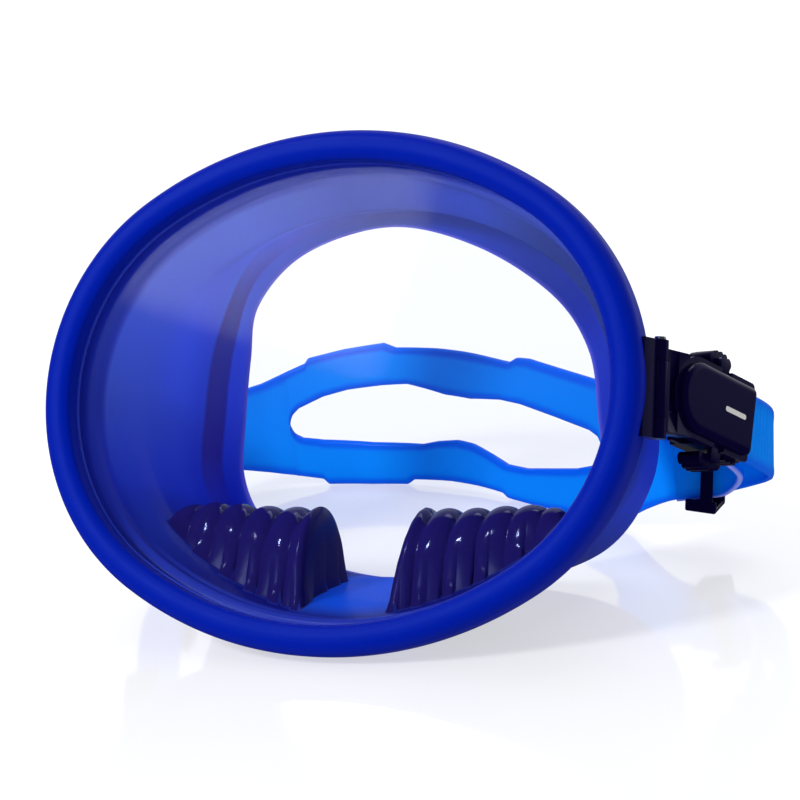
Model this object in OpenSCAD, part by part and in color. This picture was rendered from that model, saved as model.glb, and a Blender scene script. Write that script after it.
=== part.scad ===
// Single-lens diving mask, resting on a flat surface with its lens tilted back.
// Origin: middle of the footprint, on the resting surface. +X to the wearer's left, +Y back, +Z up.
// Every rigid part is drawn upright in the mask frame (x sideways, y back, z up) and then leaned.

/* [Rim and lens] */
// Width of the rim across the outside
rim_w = 167.2; // [164:0.2:170]
// Height of the rim across the outside
rim_h = 134.6; // [132:0.2:137]
// Radius of the rim's rounded left and right ends
rim_end_r = 60.6; // [58:0.2:62]
// Width of the rim's front face, from the outside to the glass opening
rim_face = 8; // [7.6:0.1:8.4]
// Depth of the glass behind the rim's front face
lens_recess = 6.4; // [6.3:0.1:6.6]
// Thickness of the tempered glass
lens_t = 3.6; // [3.4:0.1:3.6]
// Backward lean of the mask at rest, from upright
lean = 24.5; // [23:0.5:25]

/* [Skirt] */
// Wall thickness of the silicone skirt
skirt_t = 2.2; // [2:0.1:2.6]
// Height of a finger pocket at its inner end
pocket_h = 26; // [22:1:28]
// Front-to-back half width of a finger pocket
pocket_half_w = 14; // [12:0.5:15]
// Distance of a pocket's inner end from the middle
pocket_in = 10; // [8:0.5:12]
// Distance of a pocket's outer tip from the middle
pocket_out = 50; // [46:1:52]
// Ribs on a pocket
pocket_ribs = 5; // [4:1:6]

/* [Buckle] */
// Outward swing of the buckle at rest
splay = 17.5; // [14:0.5:19]
// Downward pitch of the buckle at rest
pitch = 8.5; // [5:0.5:11]
// Half width of the buckle's cover
cover_half = 8.8; // [8.4:0.1:9.2]
// Length of the cover behind the pivot
cover_back = 23.4; // [22.6:0.2:23.6]
// Radius of the strap roller
roller_r = 1.8; // [1.7:0.1:1.9]
// Travel of each release button
button_travel = 1.2; // [0.8:0.1:1.2]

/* [Strap] */
// Half height of the narrow strap
strap_half = 9; // [8.5:0.1:9]
// Thickness of the narrow strap
strap_t = 1.8; // [1.6:0.1:1.8]
// Thickness of the wide back of the strap
strap_back_t = 2.8; // [2.4:0.1:3]

/* [Hidden] */
$fn = 64;
half_w = rim_w / 2;
half_h = rim_h / 2;
// Depth of the rim, and of the retaining ring's front and rear faces
wall_back = 12.2;
retainer_front = 11.4;
retainer_back = 13.8;
// Thickness of the rim's outer wall
wall_t = 2.5;
// Outer corner radius of the rim's front face, and the depth and drop of its rounded back edge
rim_round = 2.6;
back_round = [6.2, 2];
// Overlap angle that welds the rim's arcs to each other
seam_lap = 0.02;
// Depth of the point that the rim rests on, and height of its face centre above the surface
rest_depth = 9.13;
rim_z = half_h * cos(lean) + rest_depth * sin(lean);
// Place of the rim's face centre, left and right of the footprint's middle and in front of it
rim_x = 3.26;
rim_y = -45.18;

// Hinge pin of the right-hand buckle in the mask frame, and its radii
hinge_x = 85;
hinge_y = 11;
pin_r = 1.1;
knuckle_r = 2.1;
knuckle_half = 6.9;
hinge_half = 12;
run_clear = 0.05;
// Pivot of the buckle, measured from the hinge pin with the yoke unswung
disc_x = -5.26;
disc_y = 16.69;
stud_r = 2.5;
// Roller and pawl pin, as [outward, back] from the buckle's pivot
roller_at = [-0.6, 13];
pawl_at = [4.3, 20];
pawl_pin_r = 0.6;
axle_r = 1;
wall_in = 9.3;
wall_out = 10.3;
// Rear end and outer face of the buckle's base, and rear end of the strap's straight run inside it
base_back = 24;
base_top = 5.6;

rim_blue = [0.02, 0.1, 0.72];
skirt_blue = [0.16, 0.14, 0.55];
strap_blue = [0.08, 0.48, 0.95];
buckle_navy = [0.05, 0.03, 0.2];
steel = [0.7, 0.72, 0.75];

// ---- The rim's outline: an oval of four arcs, so every inward offset is again four arcs ----

// Radius of the top and bottom arcs of an oval with half axes a, b and end radius r
function top_r(a, b, r) = (a * a + b * b - 2 * a * r) / (2 * (b - r));
// Half angle of the top arc
function top_span(a, b, r) = atan((a - r) / (top_r(a, b, r) - b));
// Point of the oval, inset by o, where its outward normal is at angle q
function oval_pt(q, o) =
    let (a = half_w - o, b = half_h - o, r = rim_end_r - o, big = top_r(a, b, r),
         off_top = abs((q + 360) % 180 - 90))
    off_top <= top_span(a, b, r)
        ? [big * cos(q), big * sin(q) - sign(sin(q)) * (big - b)]
        : [r * cos(q) + sign(cos(q)) * (a - r), r * sin(q)];

// Sweeps a section round the rim: section x is minus the inset, section y is minus the depth
module oval_sweep() {
    big = top_r(half_w, half_h, rim_end_r);
    span = top_span(half_w, half_h, rim_end_r);
    rotate([90, 0, 0])
        for (turn = [0, 180]) rotate([0, 0, turn]) {
            translate([0, half_h - big, 0]) rotate([0, 0, 90 - span - seam_lap])
                rotate_extrude(angle = 2 * (span + seam_lap), $fn = 160) translate([big, 0]) children();
            translate([half_w - rim_end_r, 0, 0]) rotate([0, 0, span - 90])
                rotate_extrude(angle = 2 * (90 - span), $fn = 120) translate([rim_end_r, 0]) children();
        }
}

module leaned() { translate([rim_x, rim_y, rim_z]) rotate([-lean, 0, 0]) children(); }

function arc_pts(c, r, from, to, steps) =
    [for (i = [0:steps]) let (w = from + (to - from) * i / steps) c + r * [cos(w), sin(w)]];

// ---- Rim, retaining ring and lens ----

module frame_ring() {
    inner_round = 0.9;
    flange_back = lens_recess - 0.9;
    color(rim_blue) leaned() oval_sweep()
        polygon(concat(
            arc_pts([-rim_round, -rim_round], rim_round, 0, 90, 6),
            arc_pts([inner_round - rim_face, -inner_round], inner_round, 90, 180, 4),
            [[-rim_face, -flange_back], [-wall_t, -flange_back], [-wall_t, -wall_back]],
            [for (w = [75:-15:0]) [back_round[1] * (cos(w) - 1),
                                   back_round[0] * (1 - sin(w)) - wall_back]]));
}

module retaining_ring() {
    color(rim_blue) leaned() oval_sweep()
        polygon([[-wall_t - 0.1, -retainer_front], [-6.5, -retainer_front], [-6.5, -retainer_back],
                 [-2.8, -retainer_back], [-2.2, -retainer_back + 0.6], [-2.2, -wall_back - 0.1],
                 [-wall_t - 0.1, -wall_back - 0.1]]);
}

module lens() {
    color([0.7, 0.8, 0.95, 0.35]) leaned() rotate([90, 0, 0])
        translate([0, 0, -lens_recess - lens_t]) linear_extrude(lens_t)
            polygon([for (q = [0:3:357]) oval_pt(q, 4.65)]);
}

// ---- Skirt: one closed section swept round the face opening ----

// Right half of a contour, from the bottom up, one point [x, depth, height] each 22.5 degrees
bend_line = [[0, 52, -47.1], [30, 55, -45.55], [56, 59, -36], [68, 61, -18], [69, 61, 2],
             [64, 57, 24], [50, 51, 46], [27, 46, 55], [0, 44, 57]];
edge_line = [[0, 57, -44.6], [27, 59, -40.5], [46, 61, -29], [53, 63, -16], [52, 63, 0],
             [50, 59, 18], [46, 52, 36], [25, 46, 46], [0, 43, 50]];

function mirrored(p) = [-p[0], p[1], p[2]];
function spline(p0, p1, p2, p3, t) =
    0.5 * (2 * p1 + (p2 - p0) * t + (2 * p0 - 5 * p1 + 4 * p2 - p3) * t * t
           + (3 * p1 - p0 - 3 * p2 + p3) * t * t * t);
function half_at(line, i) =
    i < 0 ? mirrored(line[-i]) : i > 8 ? mirrored(line[16 - i]) : line[i];
function half_pt(line, s) = let (i = min(floor(s), 7))
    spline(half_at(line, i - 1), line[i], line[i + 1], half_at(line, i + 2), s - i);
// Point of a mirrored contour at angle q, from -90 to 270
function contour_pt(line, q) =
    q <= 90 ? half_pt(line, (q + 90) / 22.5) : mirrored(half_pt(line, (270 - q) / 22.5));

function ring_pt(q, o, depth) = let (p = oval_pt(q, o)) [p[0], depth, p[1]];
// Moves a contour point towards the middle of the mask
function inward(p, d) = let (r = norm([p[0], p[2]])) [p[0] * (1 - d / r), p[1], p[2] * (1 - d / r)];

// Height of the finger pocket over the skirt's floor; inset is the wall's thickness
function pocket_rise(x, y, inset) =
    let (ax = abs(x) - inset, t = (ax - pocket_in) / (pocket_out - inset - pocket_in),
         pitch_x = (pocket_out - pocket_in) / (pocket_ribs + 0.5),
         reach = (pocket_half_w - inset) * (1 - 0.45 * t), e = (y - 37) / reach)
    t <= 0 || t >= 1 || abs(e) >= 1 ? 0
        : (pocket_h * (1 - 0.5 * t) - inset) * pow(1 - e * e, 0.35) * min(1, (ax - pocket_in) / 1.2)
          * pow(1 - t * t * t, 0.5) * (1 - 0.05 * (1 - cos(360 * (ax - pocket_in) / pitch_x)));
function with_pocket(p, inset) = p[2] > -12 ? p : p + [0, 0, pocket_rise(p[0], p[1], inset)];

// Rows of facets from the rim to the neck, to the bend and to the face edge
wall_rows = [0, 4, 9, 4];
neck_inset = 13;
neck_y = 27;
// One side of the skirt's wall from the rim to the face edge; t_in is 0 outside, skirt_t inside
function wall_pts(q, t_in) =
    let (root = ring_pt(q, 6.7 + 1.2 * t_in, 14.2), neck = ring_pt(q, neck_inset + t_in, neck_y),
         bend = inward(contour_pt(bend_line, q), t_in) - [0, t_in, 0],
         edge = contour_pt(edge_line, q) - [0, 0.55 * t_in, 0],
         c = [2 * root - neck, root, neck, bend, edge, 2 * edge - bend])
    [for (k = [1:3], m = [0:(k == 3 ? wall_rows[k] : wall_rows[k] - 1)]) with_pocket(
        spline(c[k - 1], c[k], c[k + 1], c[k + 2], m / wall_rows[k]), t_in > 0 ? 0 : skirt_t)];
function reversed(v) = [for (i = [len(v) - 1:-1:0]) v[i]];
groove = lens_recess - 0.05;
function skirt_section(q) = concat(
    [ring_pt(q, 2.6, groove - 0.75), ring_pt(q, 2.6, retainer_front - 0.05),
     ring_pt(q, 6.7, retainer_front - 0.05)],
    wall_pts(q, 0), reversed(wall_pts(q, skirt_t)),
    [ring_pt(q, 9.6, groove + lens_t + 0.1), ring_pt(q, 4.35, groove + lens_t + 0.1),
     ring_pt(q, 4.35, groove), ring_pt(q, 8.2, groove), ring_pt(q, 8.2, groove - 0.75)]);
// Finer steps along the bottom, where the pockets are
skirt_steps = concat([for (q = [-90:1.25:-52.5]) q], [for (q = [-45:7.5:225]) q],
                     [for (q = [232.5:1.25:268.75]) q]);

module skirt() {
    rows = [for (q = skirt_steps) skirt_section(q)];
    n = len(rows);
    m = len(rows[0]);
    color(skirt_blue) leaned() polyhedron(
        points = [for (row = rows, p = row) p],
        faces = [for (i = [0:n - 1], j = [0:m - 1])
            let (a = i * m + j, b = i * m + (j + 1) % m, c = (i + 1) % n * m + (j + 1) % m,
                 d = (i + 1) % n * m + j)
            each [[a, c, b], [a, d, c]]]);
}

// ---- Strap: a sheet that follows stations, with the slot of the split back left open ----

function lean_pt(p) = [p[0], p[1] * cos(lean) + p[2] * sin(lean), p[2] * cos(lean) - p[1] * sin(lean)];
// Turns a point of the right-hand buckle, [outward, back, up], by the buckle's splay and pitch
function swing(p) = [p[0] * cos(splay) + p[1] * sin(splay), p[1] * cos(splay) - p[0] * sin(splay), p[2]];
function dip(p) = [p[0], p[1] * cos(pitch) + p[2] * sin(pitch), p[2] * cos(pitch) - p[1] * sin(pitch)];
// Points of the right-hand buckle and points over the resting surface, both from the rim's centre
function buckle_pt(p) =
    lean_pt(swing(dip(p) + [disc_x, disc_y, 0]) + [hinge_x, hinge_y, 0]) + [0, 0, rim_z];
buckle_up = lean_pt(swing(dip([0, 0, 1])));
up = [0, 0, 1];

// Station: [centre, height direction, half height, thickness, half height of the slot]
function at_buckle(outward, back) =
    [buckle_pt([outward, back, 0]), buckle_up, strap_half, strap_t, 0];
function on_table(x, y, z, half, t, slot, lift = 1) =
    [[x, y, z], lift * up + (1 - lift) * buckle_up, half, t, slot];
function flipped(s) = [mirrored(s[0]), mirrored(s[1]), s[2], s[3], s[4]];
wrap_r = roller_r + 0.1 + strap_t / 2;
wrap = [for (w = [-75:30:75]) at_buckle(roller_at[0] + wrap_r * sin(w), roller_at[1] - wrap_r * cos(w))];
in_run = roller_at[0] - wrap_r;
out_run = roller_at[0] + wrap_r;
in_buckle = concat([at_buckle(in_run, base_back), at_buckle(in_run, 18)], wrap,
                   [at_buckle(out_run, 18), at_buckle(out_run, base_back)]);

right_tail = [
    on_table(69, 65.4, 21.6, strap_half, strap_t, 0), on_table(76.5, 65.2, 22.6, strap_half, strap_t, 0),
    on_table(83.8, 64.3, 24.3, strap_half, strap_t, 0, 0.75),
    on_table(90, 58.4, 31, strap_half, strap_t, 0, 0.4)];
right_run = [
    on_table(97.4, 54.2, 34.4, strap_half, strap_t, 0, 0.3),
    on_table(96.8, 62, 29.6, strap_half, strap_t, 0, 0.6),
    on_table(90.5, 67, 26, strap_half, strap_t, 0, 0.85),
    on_table(82.5, 67.9, 23.6, strap_half, strap_t, 0), on_table(75, 67.9, 22, strap_half, strap_t, 0),
    on_table(66.5, 68.9, 21.2, strap_half + 0.5, strap_t, 0), on_table(58, 73.2, 20.8, 13, 2.2, 0),
    on_table(49.5, 79, 21.2, 18.5, strap_back_t, 0)];
// The split back: the slot is open between its first and last station
back = [
    on_table(44, 82.3, 21.4, 20.3, strap_back_t, 2.5), on_table(41, 84, 21.5, 20.6, strap_back_t, 5),
    on_table(27, 91, 21.7, 21.2, strap_back_t, 6.5), on_table(9, 100.3, 22, 21.7, strap_back_t, 7.2),
    on_table(-8, 109.5, 22.2, 22, strap_back_t, 7.6), on_table(-26, 114.5, 22.3, 22.2, strap_back_t, 7.8),
    on_table(-44, 116, 22.2, 22, strap_back_t, 7.6), on_table(-58, 115.3, 22, 21, strap_back_t, 6.2),
    on_table(-68, 113.6, 21.8, 19.4, strap_back_t, 4.2), on_table(-70.5, 113, 21.7, 18.8, strap_back_t, 2.4)];
left_run = [
    on_table(-79, 110, 21.6, 15.5, 2.4, 0), on_table(-91, 102, 22, 11, 2, 0),
    on_table(-99.5, 90, 23.4, strap_half, strap_t, 0), on_table(-101.5, 76, 26.8, strap_half, strap_t, 0, 0.9),
    on_table(-100.2, 62, 31.3, strap_half, strap_t, 0, 0.6),
    on_table(-97.4, 53, 35.5, strap_half, strap_t, 0, 0.3)];
left_tail = [
    on_table(-92.4, 54.5, 34.8, strap_half, strap_t, 0, 0.35),
    on_table(-95.8, 64, 30.3, strap_half, strap_t, 0, 0.65),
    on_table(-98.4, 75.5, 26.9, strap_half, strap_t, 0, 0.9),
    on_table(-96.8, 85.5, 24.6, strap_half, strap_t, 0)];
stations = concat(right_tail, in_buckle, right_run, back, left_run,
                  reversed([for (s = in_buckle) flipped(s)]), left_tail);
slot_from = len(right_tail) + len(in_buckle) + len(right_run);
slot_to = slot_from + len(back) - 1;

function station_at(i) = stations[max(0, min(len(stations) - 1, i))];
function strap_along(f) = let (i = min(floor(f), len(stations) - 2), t = f - i)
    [for (k = [0:4]) spline(station_at(i - 1)[k], station_at(i)[k], station_at(i + 1)[k],
                            station_at(i + 2)[k], t)];
strap_step = 0.5;
strap_count = (len(stations) - 1) / strap_step;
function unit(v) = v / norm(v);
// Corners of the strap's cross-section: four heights on each of its two faces
function strap_corners(f) =
    let (s = strap_along(f), along = strap_along(min(f + 0.05, len(stations) - 1.001))[0]
             - strap_along(max(f - 0.05, 0))[0],
         tall = unit(s[1]), out = unit(cross(along, tall)), slot = max(1.2, s[4]))
    [for (side = [-1, 1], h = [-s[2], -slot, slot, s[2]]) s[0] + tall * h + out * side * s[3] / 2];

module strap() {
    n = strap_count;
    open_from = slot_from / strap_step;
    open_to = slot_to / strap_step;
    pts = [for (i = [0:n]) each strap_corners(i * strap_step)];
    // Corner number of station i, row 0 to 3 and side 0 or 1
    function at(i, row, side) = i * 8 + side * 4 + row;
    function is_open(i) = i >= open_from && i < open_to;
    function quad(a, b, c, d) = [[a, b, c], [a, c, d]];
    color(strap_blue) translate([rim_x, rim_y, 0]) polyhedron(points = pts, faces = [
        for (i = [0:n - 1], row = [0:2]) if (!(row == 1 && is_open(i))) each concat(
            quad(at(i, row, 1), at(i, row + 1, 1), at(i + 1, row + 1, 1), at(i + 1, row, 1)),
            quad(at(i, row, 0), at(i + 1, row, 0), at(i + 1, row + 1, 0), at(i, row + 1, 0))),
        for (i = [0:n - 1]) each concat(
            quad(at(i, 0, 0), at(i, 0, 1), at(i + 1, 0, 1), at(i + 1, 0, 0)),
            quad(at(i, 3, 0), at(i + 1, 3, 0), at(i + 1, 3, 1), at(i, 3, 1))),
        for (i = [0:n - 1]) if (is_open(i)) each concat(
            quad(at(i, 1, 0), at(i + 1, 1, 0), at(i + 1, 1, 1), at(i, 1, 1)),
            quad(at(i, 2, 0), at(i, 2, 1), at(i + 1, 2, 1), at(i + 1, 2, 0))),
        for (row = [0:2]) each concat(
            quad(at(0, row, 0), at(0, row + 1, 0), at(0, row + 1, 1), at(0, row, 1)),
            quad(at(n, row, 0), at(n, row, 1), at(n, row + 1, 1), at(n, row + 1, 0))),
        each quad(at(open_from, 1, 0), at(open_from, 1, 1), at(open_from, 2, 1), at(open_from, 2, 0)),
        each quad(at(open_to, 1, 0), at(open_to, 2, 0), at(open_to, 2, 1), at(open_to, 1, 1))]);
}

// ---- Buckle frames: side is 1 for the right of the mask as drawn, -1 for the left ----

module on_side(side) {
    leaned() if (side < 0) mirror([1, 0, 0]) children(); else children();
}
module at_hinge(side) { on_side(side) translate([hinge_x, hinge_y, 0]) children(); }
module at_yoke(side) { at_hinge(side) rotate([0, 0, -splay]) translate([disc_x, disc_y, 0]) children(); }
module in_pitch(side) { at_yoke(side) rotate([-pitch, 0, 0]) children(); }
// Box from its lowest and highest corners
module box(low, high) { translate(low) cube(high - low); }
// Round bar along x, and along z, from one end to the other
module bar_x(r, from, to) { translate([from, 0, 0]) rotate([0, 90, 0]) cylinder(r = r, h = to - from); }
module bar_z(r, from, to) { translate([0, 0, from]) cylinder(r = r, h = to - from); }
module along_z(spot) { translate([spot[0], spot[1], 0]) children(); }

module bracket(side) {
    plate = [-3, -6.5, 1.2];
    color(buckle_navy) at_hinge(side) difference() {
        union() {
            box([plate[0], plate[1], -hinge_half], [-0.1, plate[2], hinge_half]);
            for (end = [-1, 1]) {
                bar_z(knuckle_r, end > 0 ? knuckle_half + 0.1 : -hinge_half,
                      end > 0 ? hinge_half : -knuckle_half - 0.1);
                box([-1.5, -knuckle_r, end > 0 ? knuckle_half + 0.1 : -hinge_half],
                    [0, 1.2, end > 0 ? hinge_half : -knuckle_half - 0.1]);
            }
        }
        bar_z(pin_r + run_clear, -hinge_half - 1, hinge_half + 1);
        bar_z(knuckle_r + 0.3, -knuckle_half - 0.1, knuckle_half + 0.1);
        // Concave face that fits the rim's outer wall
        translate([half_w - rim_end_r - hinge_x, 20, 0]) rotate([90, 0, 0])
            cylinder(r = rim_end_r + 0.02, h = 40, $fn = 160);
    }
}

module hinge_pin(side) {
    color(steel) at_hinge(side) {
        bar_z(pin_r, -hinge_half, hinge_half);
        bar_z(pin_r + 0.6, hinge_half + 0.02, hinge_half + 0.9);
        bar_z(pin_r, hinge_half - 0.1, hinge_half + 0.1);
    }
}

module yoke(side) {
    prong_z = 10.2;
    prong_tip = -3.4;
    recess_r = wall_out + 0.3;
    disc_hole = 9.6;
    web_r = 7.5;
    scallop_r = 30;
    // The yoke's own frame has its origin on the buckle's pivot; the hinge pin is at [hx, hy]
    hx = -disc_x;
    hy = -disc_y;
    face = hx + 0.9;
    color(buckle_navy) at_yoke(side) difference() {
        union() {
            along_z([hx, hy]) bar_z(knuckle_r, -knuckle_half, knuckle_half);
            box([hx - 1.5, hy, -knuckle_half], [face, hy + 4, knuckle_half]);
            box([hx - 3, hy + 2.5, -prong_z], [face, prong_tip, prong_z]);
            box([-4.6, -11.5, -8], [hx - 2, -disc_hole, 8]);
            box([-4.6, -11.5, -web_r], [-2.7, 0, web_r]);
            bar_x(web_r, -4.6, -2.7);
        }
        along_z([hx, hy]) bar_z(pin_r + run_clear, -20, 20);
        bar_x(stud_r + run_clear, -8, 0);
        bar_x(recess_r, 2.6, 12);
        bar_x(disc_hole, -2.6, 12);
        // Thumb scallop in the outer face, between the hinge and the recess
        translate([hx + scallop_r - 0.8, hy + 3.2, 0]) rotate([-90, 0, 0])
            cylinder(r = scallop_r, h = 3.8, $fn = 120);
    }
}

module pivot_stud(side) {
    color(steel) at_yoke(side) {
        bar_x(stud_r, -4.7, -0.75);
        bar_x(4, -5.6, -4.65);
        bar_x(3.4, -0.85, 0);
    }
}

// Round in front, straight-sided behind: the outline lies in y and z and is thickened along x
module d_slab(r, back, from, to) {
    translate([from, 0, 0]) rotate([90, 0, 90]) linear_extrude(to - from) {
        circle(r = r);
        translate([0, -r]) square([back, 2 * r]);
    }
}

module buckle_base(side) {
    lip = 5;
    color(buckle_navy) in_pitch(side) difference() {
        union() {
            bar_x(9.3, -2.5, 3.1);
            d_slab(wall_out, base_back, 3, base_top);
            box([-2.5, 0, -wall_out], [-0.9, 8, wall_out]);
            for (end = [0, 1]) mirror([0, 0, end]) {
                box([-4.4, 4, wall_in], [3.1, base_back, wall_out]);
                // Grip ribs behind the button
                for (i = [0:2]) box([-1, 17.4 + 2 * i, wall_out - 0.1], [3, 18.7 + 2 * i, wall_out + 0.9]);
            }
        }
        // Cavity for the spring, the stud's riveted end and the strap
        bar_x(8.4, -0.9, lip);
        box([-0.9, 0, -wall_in], [lip, base_back + 1, wall_in]);
        d_slab(cover_half - 1.4, 21.6, lip - 0.5, base_top + 1);
        bar_x(stud_r + run_clear, -4, 0);
        along_z(roller_at) bar_z(axle_r + run_clear, -20, 20);
        along_z(pawl_at) bar_z(pawl_pin_r + run_clear, -20, 20);
        for (end = [0, 1]) mirror([0, 0, end]) box([3.4, 8.8, 9], [base_top + 1, 13.2, 13]);
    }
}

module buckle_cover(side) {
    seat = base_top + 0.05;
    color(buckle_navy) in_pitch(side) difference() {
        hull() {
            d_slab(cover_half, cover_back, seat, 6.5);
            d_slab(cover_half - 1, cover_back - 1, 7.4, 7.5);
        }
        d_slab(cover_half - 1.3, cover_back - 1.3, seat - 0.5, 6.3);
    }
}

module button(side, end) {
    block_in = wall_out + button_travel + 0.1;
    block_out = block_in + 3.8;
    color(buckle_navy) in_pitch(side) mirror([0, 0, end > 0 ? 0 : 1]) {
        box([-3.2, 6, block_in], [3.2, 16, block_out - 0.6]);
        for (i = [0:4]) box([-3.2, 6.4 + 2 * i, block_out - 0.7], [3.2, 7.6 + 2 * i, block_out]);
        box([2.6, 9, block_in], [4.85, 13, 13.2]);
        box([3.6, 9, wall_in - 0.1], [4.85, 13, block_in + 0.1]);
    }
}

module release_spring(side) {
    color(steel) in_pitch(side) rotate([0, 90, 0]) rotate([0, 0, -30])
        rotate_extrude(angle = 240) translate([6.6, -0.6]) square([0.6, 2.6]);
}

module pawl(side) {
    color(buckle_navy) in_pitch(side) difference() {
        union() {
            along_z(pawl_at) bar_z(1.15, -7.2, 7.2);
            box([3.5, 14.5, -7], [4.8, pawl_at[1], 7]);
            box([3.25, pawl_at[1] - 0.8, -7], [4.6, pawl_at[1] + 0.8, 7]);
            for (i = [0:2]) box([3.2, 14.6 + 1.1 * i, -7], [3.6, 15.1 + 1.1 * i, 7]);
        }
        along_z(pawl_at) bar_z(pawl_pin_r + run_clear, -20, 20);
    }
}

module pawl_pin(side) {
    color(steel) in_pitch(side) along_z(pawl_at) bar_z(pawl_pin_r, -wall_out + 0.05, wall_out - 0.05);
}

module roller(side) {
    color(steel) in_pitch(side) along_z(roller_at) difference() {
        bar_z(roller_r, -wall_in + 0.1, wall_in - 0.1);
        bar_z(axle_r + run_clear, -20, 20);
    }
}

module roller_axle(side) {
    color(steel) in_pitch(side) along_z(roller_at) bar_z(axle_r, -wall_out, wall_out);
}

// Rectangular loop round both layers of the strap, with a narrow bar across its front
module keeper_loop() {
    half_len = 4.3;
    difference() {
        box([-half_len, -4.7, -12.3], [half_len, 4.7, 12.3]);
        box([-10, -3.3, -11], [10, 3.3, 11]);
        for (end = [0, 1]) mirror([end, 0, 0]) box([1.5, -6, -9], [10, 0, 9]);
    }
}
module keeper(side) {
    color(buckle_navy) translate([rim_x, rim_y, 0])
        if (side > 0) translate([77.6, 66.6, 22.8]) rotate([0, 7, -2]) keeper_loop();
        else translate([-99.8, 73.5, 27.3]) rotate([-4, 0, 93.5]) rotate([0, 15, 0]) keeper_loop();
}

frame_ring();
retaining_ring();
lens();
skirt();
strap();
bracket(1);  // right_bracket
hinge_pin(1);  // right_hinge_pin
yoke(1);  // right_yoke
pivot_stud(1);  // right_pivot_stud
buckle_base(1);  // right_buckle_base
buckle_cover(1);  // right_buckle_cover
button(1, 1);  // right_upper_button
button(1, -1);  // right_lower_button
release_spring(1);  // right_release_spring
pawl(1);  // right_pawl
pawl_pin(1);  // right_pawl_pin
roller(1);  // right_roller
roller_axle(1);  // right_roller_axle
keeper(1);  // right_keeper
bracket(-1);  // left_bracket
hinge_pin(-1);  // left_hinge_pin
yoke(-1);  // left_yoke
pivot_stud(-1);  // left_pivot_stud
buckle_base(-1);  // left_buckle_base
buckle_cover(-1);  // left_buckle_cover
button(-1, 1);  // left_upper_button
button(-1, -1);  // left_lower_button
release_spring(-1);  // left_release_spring
pawl(-1);  // left_pawl
pawl_pin(-1);  // left_pawl_pin
roller(-1);  // left_roller
roller_axle(-1);  // left_roller_axle
keeper(-1);  // left_keeper
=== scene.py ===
"""Looks of the diving mask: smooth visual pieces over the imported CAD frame.

Lengths are in mm and angles in degrees until mesh() writes metres. In the mask frame x runs across the rim,
y from the glass towards the face and z up the rim, which leans back. The floor frame has the same origin in
plan, but its z starts on the floor and points straight up. Each buckle has frames of its own, x outward.
"""
import math

import bpy
import numpy as np
from mathutils import Matrix, Vector


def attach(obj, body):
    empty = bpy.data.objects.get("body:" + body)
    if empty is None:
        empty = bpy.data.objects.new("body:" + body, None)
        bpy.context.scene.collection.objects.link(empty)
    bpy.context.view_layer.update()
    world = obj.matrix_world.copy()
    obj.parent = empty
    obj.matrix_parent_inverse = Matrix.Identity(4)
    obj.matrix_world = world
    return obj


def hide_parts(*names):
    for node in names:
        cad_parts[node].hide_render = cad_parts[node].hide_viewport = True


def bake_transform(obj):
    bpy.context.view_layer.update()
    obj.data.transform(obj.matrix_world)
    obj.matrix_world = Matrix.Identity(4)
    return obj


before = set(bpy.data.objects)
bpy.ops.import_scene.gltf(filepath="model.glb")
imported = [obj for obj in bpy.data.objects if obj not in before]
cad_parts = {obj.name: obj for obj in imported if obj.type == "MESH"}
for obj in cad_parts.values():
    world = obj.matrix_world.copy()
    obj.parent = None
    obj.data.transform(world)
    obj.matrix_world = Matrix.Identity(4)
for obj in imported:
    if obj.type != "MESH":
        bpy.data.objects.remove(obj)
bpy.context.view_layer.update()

MM = 0.001
HALF_W, HALF_H, END_R = 83.6, 67.3, 60.6  # the rim's oval: half width, half height, radius of its ends
RIM_FACE = 8.0  # width of the rim's front band
RECESS, GLASS_T = 6.4, 3.6  # depth of the glass behind the rim's front plane, and its thickness
WALL_BACK, WALL_T = 12.2, 2.5  # depth of the rim's rear edge, and the thickness of its outer wall
SKIRT_T = 2.2
LEAN = 24.5  # how far the mask leans back
FOOT_DEPTH = 9.13  # depth behind the front plane at which the leaning rim's foot is measured
RIM_X, RIM_Y = 3.26, -45.18  # centre of the front plane, in plan
HINGE_OUT, HINGE_DEPTH = 85, 11  # hinge pin, from the centre of the front plane
HX, HY = 5.26, -16.69  # hinge pin in the yoke's frame
SPLAY, PITCH = 17.5, 8.5  # swing of the yokes and tilt of the buckles at rest


# ---- Frames and mesh helpers ----

def rad(deg):
    return math.radians(deg)


def shift(x, y, z):
    m = np.eye(4)
    m[:3, 3] = (x, y, z)
    return m


def turn(axis, deg):
    i, j = {"x": (1, 2), "y": (2, 0), "z": (0, 1)}[axis]
    m = np.eye(4)
    m[i, i] = m[j, j] = math.cos(rad(deg))
    m[j, i] = math.sin(rad(deg))
    m[i, j] = -m[j, i]
    return m


RIM_Z = HALF_H * math.cos(rad(LEAN)) + FOOT_DEPTH * math.sin(rad(LEAN))
MASK = shift(RIM_X, RIM_Y, RIM_Z) @ turn("x", -LEAN)
FLOOR_FRAME = shift(RIM_X, RIM_Y, 0)


def side_frames(side):
    """Frames of the hinge pin, the yoke and the buckle on one side; x points outward."""
    hinge = MASK @ np.diag([side, 1.0, 1.0, 1.0]) @ shift(HINGE_OUT, HINGE_DEPTH, 0)
    yoke = hinge @ turn("z", -SPLAY) @ shift(-HX, -HY, 0)
    return {"hinge": hinge, "yoke": yoke, "buckle": yoke @ turn("x", -PITCH)}


SIDES = {"right": side_frames(1), "left": side_frames(-1)}


def apply(m, pts):
    return np.asarray(pts, float) @ m[:3, :3].T + m[:3, 3]


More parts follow.
